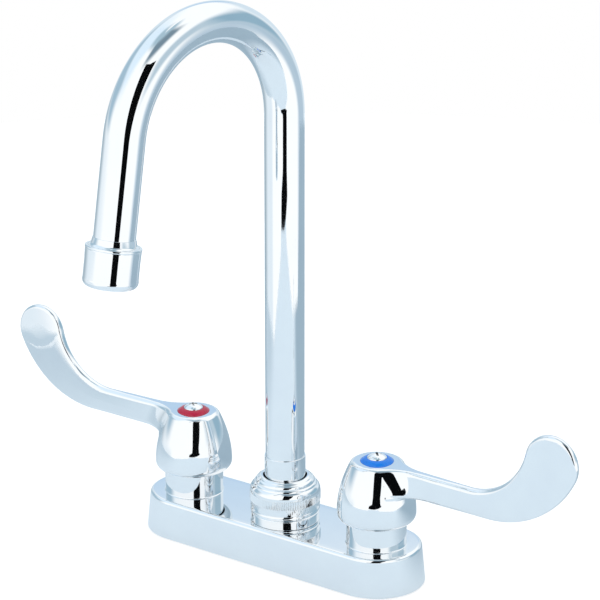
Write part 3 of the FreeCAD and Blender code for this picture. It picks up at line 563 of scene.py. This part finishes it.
def wing_handle(points):
    """Negative inside the handle. s runs along the arm, t across it and z up."""
    s, t, z = points[..., 0], np.abs(points[..., 1]), points[..., 2]
    side = side_view(s, z)
    half = ARM_HALF - 1.0 * (np.clip(s - 25.0, 0.0, 80.0) / 76.6) ** 1.5
    half = half - 0.45 * np.clip(1.0 + side / 9.0, 0.0, 1.0) ** 2 * ramp(s, 24.0, 55.0)
    edge = 1.4 + 0.7 * ramp(s, 10.0, 30.0) - 0.7 * ramp(s, 45.0, 85.0)
    blade = rounded_both(side, plan_view(s, t, z, half), edge)
    hub = rounded_both(bell(np.hypot(s, t), z), z - HUB_TOP, 1.4)
    fillet = 1e-3 + 1.3 * (1.0 - ramp(z, ARM_BOTTOM, ARM_BOTTOM + 1.4))
    return rounded_either(hub, blade, fillet)


# %% [markdown]
# ## Wing handle: from the formula to a skin
# The space around the handle is divided into small cells. A cell whose corners lie
# on both sides of the surface gets one point, and cells that share an edge through
# the surface are joined by a face. Each point then slides along the formula's slope
# until the formula is zero, so that the points lie on the true surface. The slope
# also gives the exact normal, which keeps reflections smooth.

# %% Wing handle: from the formula to a skin
CELL = 0.55


def slope(field, points, step=0.01):
    """The field's gradient by central differences."""
    parts = []
    for axis in np.eye(3) * step:
        parts.append((field(points + axis) - field(points - axis)) / (2 * step))
    return np.stack(parts, axis=-1)


def settled(field, points, rounds=6):
    """Moves points down the slope onto the surface: p - f g / (g . g)."""
    for _ in range(rounds):
        gradient = slope(field, points)
        size = np.maximum((gradient ** 2).sum(-1), 1e-4)
        move = np.clip(field(points) / size, -0.5, 0.5)
        points = points - move[..., None] * gradient
    return points


def skin(field, low, high, cell):
    """Points and four-sided faces on the surface where the field changes sign."""
    axes = [np.arange(a, b + cell, cell) for a, b in zip(low, high)]
    value = field(np.stack(np.meshgrid(*axes, indexing="ij"), axis=-1))
    inside = value < 0.0
    corners = [(i, j, k) for i in (0, 1) for j in (0, 1) for k in (0, 1)]
    span = [n - 1 for n in value.shape]
    part = lambda array, c: array[c[0]:c[0] + span[0], c[1]:c[1] + span[1], c[2]:c[2] + span[2]]
    count = sum(part(inside, c).astype(np.int8) for c in corners)
    cells = np.argwhere((count > 0) & (count < 8))
    number = np.full(span, -1)
    number[tuple(cells.T)] = np.arange(len(cells))
    points = (cells + 0.5) * cell + np.array([axis[0] for axis in axes])
    faces = []
    for axis in range(3):
        one, two = (axis + 1) % 3, (axis + 2) % 3
        here = np.take(inside, range(span[axis]), axis)
        there = np.take(inside, range(1, span[axis] + 1), axis)
        for crossing, flip in ((here & ~there, False), (~here & there, True)):
            at = np.argwhere(crossing)
            at = at[(at[:, one] > 0) & (at[:, two] > 0) & (at[:, one] < span[one]) & (at[:, two] < span[two])]
            ring = []
            for step_one, step_two in ((0, 0), (1, 0), (1, 1), (0, 1)):
                neighbour = at.copy()
                neighbour[:, one] -= step_one
                neighbour[:, two] -= step_two
                ring.append(number[tuple(neighbour.T)])
            faces.append(np.stack(ring[::-1] if flip else ring, axis=-1))
    return points, np.concatenate(faces)


points, faces = skin(wing_handle, (-19.0, -19.0, 27.5), (103.5, 19.0, 91.0), CELL)
points = settled(wing_handle, points)
print("handle skin:", len(points), "points, greatest miss, mm:", float(np.abs(wing_handle(points)).max()))
rough_handle = bpy.data.meshes.new("wing_handle")
rough_handle.from_pydata((points * MM).tolist(), [], faces.tolist())
rough_handle.validate()

# %% [markdown]
# ## Wing handle: hollows
# From below, the hub is hollow: a skirt that hides the bonnet nut, and a socket for
# the stem. From above it has a seat for the coloured ring and a hole for the screw.
# One turned cutter takes all of this out. The normals are then written: where a face
# lies on the formula's surface it gets the formula's slope, and elsewhere its own.

# %% Wing handle: hollows
hollow_line = outline(
    (0, 27.0), (13.9, 27.0), (13.9, 38.0), (10.8, 45.5), (7.0, 45.5), (7.0, 39.4), (4.05, 39.4),
    (4.05, 50.0), (2.2, 50.0), (2.2, 54.6), (7.4, 54.6), (7.4, 57.5), (0, 57.5))
ON_SURFACE, SAME_WAY = 0.03, 0.94


def with_true_normals(mesh, field):
    """Writes a normal for every face corner: the field's slope on its surface, else the mesh's own."""
    mesh.shade_smooth()
    mesh.set_sharp_from_angle(angle=math.radians(32.0))
    loops, corners = len(mesh.loops), np.empty(len(mesh.loops), np.int32)
    mesh.loops.foreach_get("vertex_index", corners)
    own = np.empty(loops * 3, np.float32)
    mesh.corner_normals.foreach_get("vector", own)
    own = own.reshape(-1, 3)
    where = np.empty(len(mesh.vertices) * 3, np.float32)
    mesh.vertices.foreach_get("co", where)
    where = where.reshape(-1, 3).astype(float) / MM
    true = slope(field, where)
    steepness = np.linalg.norm(true, axis=1)
    true /= np.maximum(steepness[:, None], 1e-9)
    off = np.abs(field(where)) / np.maximum(steepness, 1e-3)
    agree = (own * true[corners]).sum(-1)
    trusted = (off[corners] < ON_SURFACE) & (agree > SAME_WAY)
    normals = np.where(trusted[:, None], true[corners], own)
    mesh.normals_split_custom_set(normals.tolist())
    return mesh


handle_mesh = carved(rough_handle, cut=[grid_mesh("hollow", turned(hollow_line, 128))])
handle_mesh = with_true_normals(handle_mesh, wing_handle)

# %% [markdown]
# ## Ring and screw
# A coloured ring fills the seat in the hub's top and climbs to the screw's deep
# domed head, which has a cross recess. Both are turned, and the recess is cut with
# two tapering bars.

# %% Ring and screw
ring_line = outline(
    (4.4, 54.6), (7.35, 54.6), eased(outline((7.35, 55.2), (7.35, 56.4), bowed((7.05, 56.4), (4.4, 57.8), 0.3)),
                                     0.3, least=14), (4.4, 54.6))
head_line = outline(
    (0, 54.6), (4.35, 54.6), eased(outline((4.35, 55.4), bowed((4.35, 58.0), (0.0, 59.6), 0.42, 24)), 0.35,
                                   least=14))
shaft_line = outline((0, 39.6), (1.9, 39.6), (1.9, 55.0), (0, 55.0))


def tapered_bar(length, width, low, high, taper=0.55):
    """A bar with a smaller foot: four corners at each height, closed at both ends."""
    corner = np.array([(1, 1), (-1, 1), (-1, -1), (1, -1), (1, 1)], float) * (length / 2, width / 2)
    rows = [(0.0, low), (taper, low), (1.0, high), (0.0, high)]
    return np.stack([np.column_stack([corner * size, np.full(5, z)]) for size, z in rows])


def turned_about_z(grid, degrees):
    """A grid of points carried round the Z axis by an angle."""
    c, s = math.cos(math.radians(degrees)), math.sin(math.radians(degrees))
    return grid @ np.array([[c, s, 0.0], [-s, c, 0.0], [0.0, 0.0, 1.0]])


bars = [grid_mesh("bar", turned_about_z(tapered_bar(5.0, 1.15, 58.1, 60.2), angle)) for angle in (45, 135)]
screw_mesh = smooth(carved(grid_mesh("screw", turned(head_line, 96)),
                           join=[grid_mesh("shaft", turned(shaft_line, 48))], cut=bars))
ring_mesh = smooth(grid_mesh("ring", turned(ring_line, 128)))

HEADING = {"hot": 181.36, "cold": -1.36}
for side_name, x in (("hot", -HALF_CENTRES), ("cold", HALF_CENTRES)):
    place = Matrix.Translation((x * MM, 0.0, 0.0)) @ Matrix.Rotation(math.radians(HEADING[side_name]), 4, "Z")
    parts = {"wing": (handle_mesh, "chrome", "handle"), "screw": (screw_mesh, "chrome", "handle_screw"),
             "ring": (ring_mesh, "red_ring" if side_name == "hot" else "blue_ring", "index_ring")}
    for label, (source, slot_name, node) in parts.items():
        mesh = source.copy()
        mesh.transform(place)
        piece(f"{side_name}_{label}", mesh, f"{side_name}_lever", slot_name, f"{side_name}_{node}")

# %% [markdown]
# ## What stays as CAD
# The pieces inside and below keep their CAD meshes, which are exact, and get their
# finish by the record's material slots.

# %% What stays as CAD
slot_of = {entry["node"]: entry["material_slot"] for entry in frame["record"]["subparts"]}
kept = [name for name, made in frame["nodes"].items() if not made.hide_render]
for name in kept:
    made = frame["nodes"][name]
    made.data.materials.clear()
    made.data.materials.append(finishes[slot_of[name]])
print("kept as CAD:", ", ".join(sorted(kept)))

# %% [markdown]
# ## Table
# The faucet stands on a plain white table. The camera sees it as pure white, because
# its glow lifts even the faucet's soft shadow to white. The chrome sees it a little
# darker, most of all behind the faucet and to its left: that is painted shade, a
# darker, bluer white and a glow that fades there. The chrome also sees it end: 29 cm
# from the spout in front, further out in a tongue towards the camera, and nowhere near
# at the back. That edge is what chrome shows as the soft line along each blade and up
# the middle of the spout, so the table has it as a curve of distance against heading.

# %% Table
TABLE_R, TABLE_Z = 760.0, -0.3
angle = np.radians(np.linspace(-180.0, 180.0, 145))
rings = np.linspace(0.0, TABLE_R, 12)[:, None]
table = np.stack([rings * np.sin(angle), -rings * np.cos(angle), TABLE_Z + 0 * rings * angle], axis=-1)
floor = bpy.data.objects.new("floor", grid_mesh("floor", table))
bpy.context.collection.objects.link(floor)

# %% [markdown]
# The table's material is a matt white with a little glow of its own. Which white it
# is depends on who looks: the camera, or the chrome. The chrome's white is a darker,
# bluer copy, which is painted shade, and its glow is weaker at the left and gone behind
# the faucet, which is painted shade too. Past its edge the chrome sees through it to the room.

# %% Table's material
TABLE_EDGE = [(-180, 0.74), (-122, 0.74), (-108, 0.36), (-65, 0.335), (-53, 0.316), (-28, 0.29),
              (-3, 0.372), (15, 0.443), (20, 0.600), (42, 0.600), (46, 0.47), (53, 0.443),
              (71, 0.372), (84, 0.335), (118, 0.36), (134, 0.74), (180, 0.74)]
EDGE_SOFT = 0.020
# Painted shade: the chrome sees a darker, bluer white than the camera does.
PAINTED_SHADE_WHITE_IN_CHROME, WHITE_TO_CAMERA = (0.44, 0.54, 0.61, 1.0), (0.74, 0.71, 0.69, 1.0)
# Painted shade: the glow the chrome sees is weaker at the table's left.
PAINTED_SHADE_GLOW_AT_LEFT, GLOW_IN_CHROME, GLOW_TO_CAMERA = 0.20, 0.39, 0.50

paint, tree = new_recipe("pale_floor")
ray = put(tree, "ShaderNodeLightPath").outputs
place = put(tree, "ShaderNodeTexCoord").outputs["Object"]
spot = put(tree, "ShaderNodeSeparateXYZ", Vector=place).outputs
# Painted shade: the glow the chrome sees fades out behind the faucet and drops towards its left.
glow_in_front_painted_shade_behind = map_range(tree, spot["Y"], -0.02, 0.10, 1.0, 0.0, "SMOOTHSTEP")
across = map_range(tree, spot["X"], -0.27, -0.08, PAINTED_SHADE_GLOW_AT_LEFT, GLOW_IN_CHROME, "SMOOTHSTEP")
seen = math_node(tree, "MAXIMUM", ray["Is Glossy Ray"], ray["Is Transmission Ray"])
painted_shade_glow_to_metal = product(tree, seen, glow_in_front_painted_shade_behind, across)
to_camera = product(tree, ray["Is Camera Ray"], GLOW_TO_CAMERA)
white = mixed(tree, ray["Is Camera Ray"], PAINTED_SHADE_WHITE_IN_CHROME, WHITE_TO_CAMERA)
matt = put(tree, "ShaderNodeBsdfDiffuse", Color=white).outputs[0]
glow = put(tree, "ShaderNodeEmission", Strength=math_node(tree, "ADD", to_camera, painted_shade_glow_to_metal)).outputs[0]
both = put(tree, "ShaderNodeAddShader", n0=matt, n1=glow).outputs[0]

side = math_node(tree, "ARCTAN2", spot["X"], product(tree, spot["Y"], -1.0))
edge = put(tree, "ShaderNodeValToRGB", Fac=map_range(tree, side, -math.pi, math.pi))
while len(edge.color_ramp.elements) < len(TABLE_EDGE):
    edge.color_ramp.elements.new(0.5)
for stop, (degrees, distance) in zip(edge.color_ramp.elements, TABLE_EDGE):
    stop.position = (degrees + 180.0) / 360.0
    stop.color = (distance, distance, distance, 1.0)
away = put(tree, "ShaderNodeVectorMath", {"operation": "LENGTH"}, n0=place).outputs["Value"]
past = math_node(tree, "SUBTRACT", away, edge.outputs["Color"])
ended = product(tree, seen, map_range(tree, past, -EDGE_SOFT, EDGE_SOFT, kind="SMOOTHSTEP"))
clear = put(tree, "ShaderNodeBsdfTransparent").outputs[0]
served(tree, put(tree, "ShaderNodeMixShader", n0=ended, n1=both, n2=clear).outputs[0])
floor.data.materials.append(paint)
print("table's edge, points of its curve:", len(TABLE_EDGE))

# %% [markdown]
# ## Dark gap
# The camera looks in through a tall gap in the white tent, 45 cm from the spout.
# Chrome shows it as the narrow black line down the middle of every round piece, a
# little further left or right on each, because it is so near. So it is a real sheet
# here, with a splayed foot, seen by the chrome alone.

# %% Dark gap
# Each row of the sheet: its height, and the headings of its left and right edges.
GAP_EDGES = [(14.0, 18.0, 34.0), (24.0, 18.0, 46.0), (36.0, 19.0, 52.5), (52.0, 27.0, 49.5),
             (100.0, 28.5, 49.5), (285.0, 29.5, 60.0), (540.0, 31.3, 70.0), (650.0, 32.0, 52.0),
             (770.0, 33.0, 34.0)]
GAP_AWAY = 450.0
GAP_COLOUR = (0.0025, 0.003, 0.0035, 1.0)
height, left, right = np.array(GAP_EDGES).T[:, :, None]
spread = np.radians(left + (right - left) * np.linspace(0.0, 1.0, 13))
gap = np.stack([GAP_AWAY * np.sin(spread), -GAP_AWAY * np.cos(spread), height + 0.0 * spread], axis=-1)
gap_sheet = bpy.data.objects.new("dark_gap", grid_mesh("dark_gap", gap))
bpy.context.collection.objects.link(gap_sheet)

paint, tree = new_recipe("dark_room")
glossy = put(tree, "ShaderNodeLightPath").outputs["Is Glossy Ray"]
dark = put(tree, "ShaderNodeEmission", Color=GAP_COLOUR).outputs[0]
clear = put(tree, "ShaderNodeBsdfTransparent").outputs[0]
served(tree, put(tree, "ShaderNodeMixShader", n0=glossy, n1=clear, n2=dark).outputs[0])
gap_sheet.data.materials.append(paint)
print("dark gap, rows and columns:", gap.shape[:2])

# %% [markdown]
# ## Room
# The room is a tent of white cloth, written as directions in the world. Behind the
# faucet the cloth is in a pale blue shade, which the flat tops mirror. To the left,
# to the back right and overhead it is in darker blue shades with soft edges.

# %% Room
world = bpy.data.worlds.new("studio")
bpy.context.scene.world = world
world.use_nodes = True
tree = world.node_tree
tree.nodes.clear()
way = put(tree, "ShaderNodeTexCoord").outputs["Generated"]
part = put(tree, "ShaderNodeSeparateXYZ", Vector=way).outputs
DEGREES = 180.0 / math.pi
elevation = product(tree, math_node(tree, "ARCSINE", part["Z"]), DEGREES)
front = product(tree, part["Y"], -1.0)
heading = product(tree, math_node(tree, "ARCTAN2", part["X"], front), DEGREES)
behind = math_node(tree, "MODULO", math_node(tree, "ADD", heading, 360.0), 360.0)


def window(tree, value, low, high, soft):
    """One between two limits and zero outside them, with limits that soften over a few degrees."""
    rise = map_range(tree, math_node(tree, "SUBTRACT", value, low), -soft, soft, kind="SMOOTHSTEP")
    fall = map_range(tree, math_node(tree, "SUBTRACT", value, high), -soft, soft, 1.0, 0.0, "SMOOTHSTEP")
    return product(tree, rise, fall)


# Each cloth: its colour, the heading that places it, from and to in heading, from and
# to in elevation, and how many degrees its upright and its level edges soften over.
WHITE_CLOTH = (1.10, 1.12, 1.13, 1.0)
CLOTHS = [
    ((0.80, 0.95, 1.08, 1.0), heading, (-125, -35), (28, 100), (22, 14)),
    ((0.84, 0.93, 1.00, 1.0), heading, (-200, -36), (-100, -4), (8, 5)),
    ((0.40, 0.50, 0.57, 1.0), heading, (-160, -88), (-100, 0), (20, 6)),
    ((0.40, 0.56, 0.68, 1.0), heading, (-126, -58), (0, 33), (16, 7)),
    ((0.52, 0.65, 0.74, 1.0), heading, (84, 124), (6, 29), (10, 6)),
    ((0.50, 0.63, 0.74, 1.0), behind, (122, 180), (-100, -2), (10, 7)),
    ((0.31, 0.48, 0.60, 1.0), behind, (122, 170), (-4, 29), (10, 9)),
    ((0.72, 0.84, 0.93, 1.0), behind, (174, 240), (-100, 26), (10, 7)),
    ((0.52, 0.70, 0.90, 1.0), behind, (204, 228), (14.5, 24), (5, 2.5)),
    ((0.42, 0.58, 0.68, 1.0), heading, (-140, 200), (74, 100), (40, 6)),
    ((0.20, 0.29, 0.36, 1.0), heading, (22, 116), (56, 80), (13, 7)),
]
room = put(tree, "ShaderNodeRGB").outputs[0]
room.default_value = WHITE_CLOTH
for colour, turn, headings, elevations, soft in CLOTHS:
    mask = product(tree, window(tree, turn, *headings, soft[0]), window(tree, elevation, *elevations, soft[1]))
    room = mixed(tree, mask, room, colour)
room = mixed(tree, put(tree, "ShaderNodeLightPath").outputs["Is Camera Ray"], room, (1.0, 1.0, 1.0, 1.0))
background = put(tree, "ShaderNodeBackground", Strength=1.0, Color=room)
served(tree, background.outputs[0], "ShaderNodeOutputWorld")
print("cloths in the room:", len(CLOTHS))
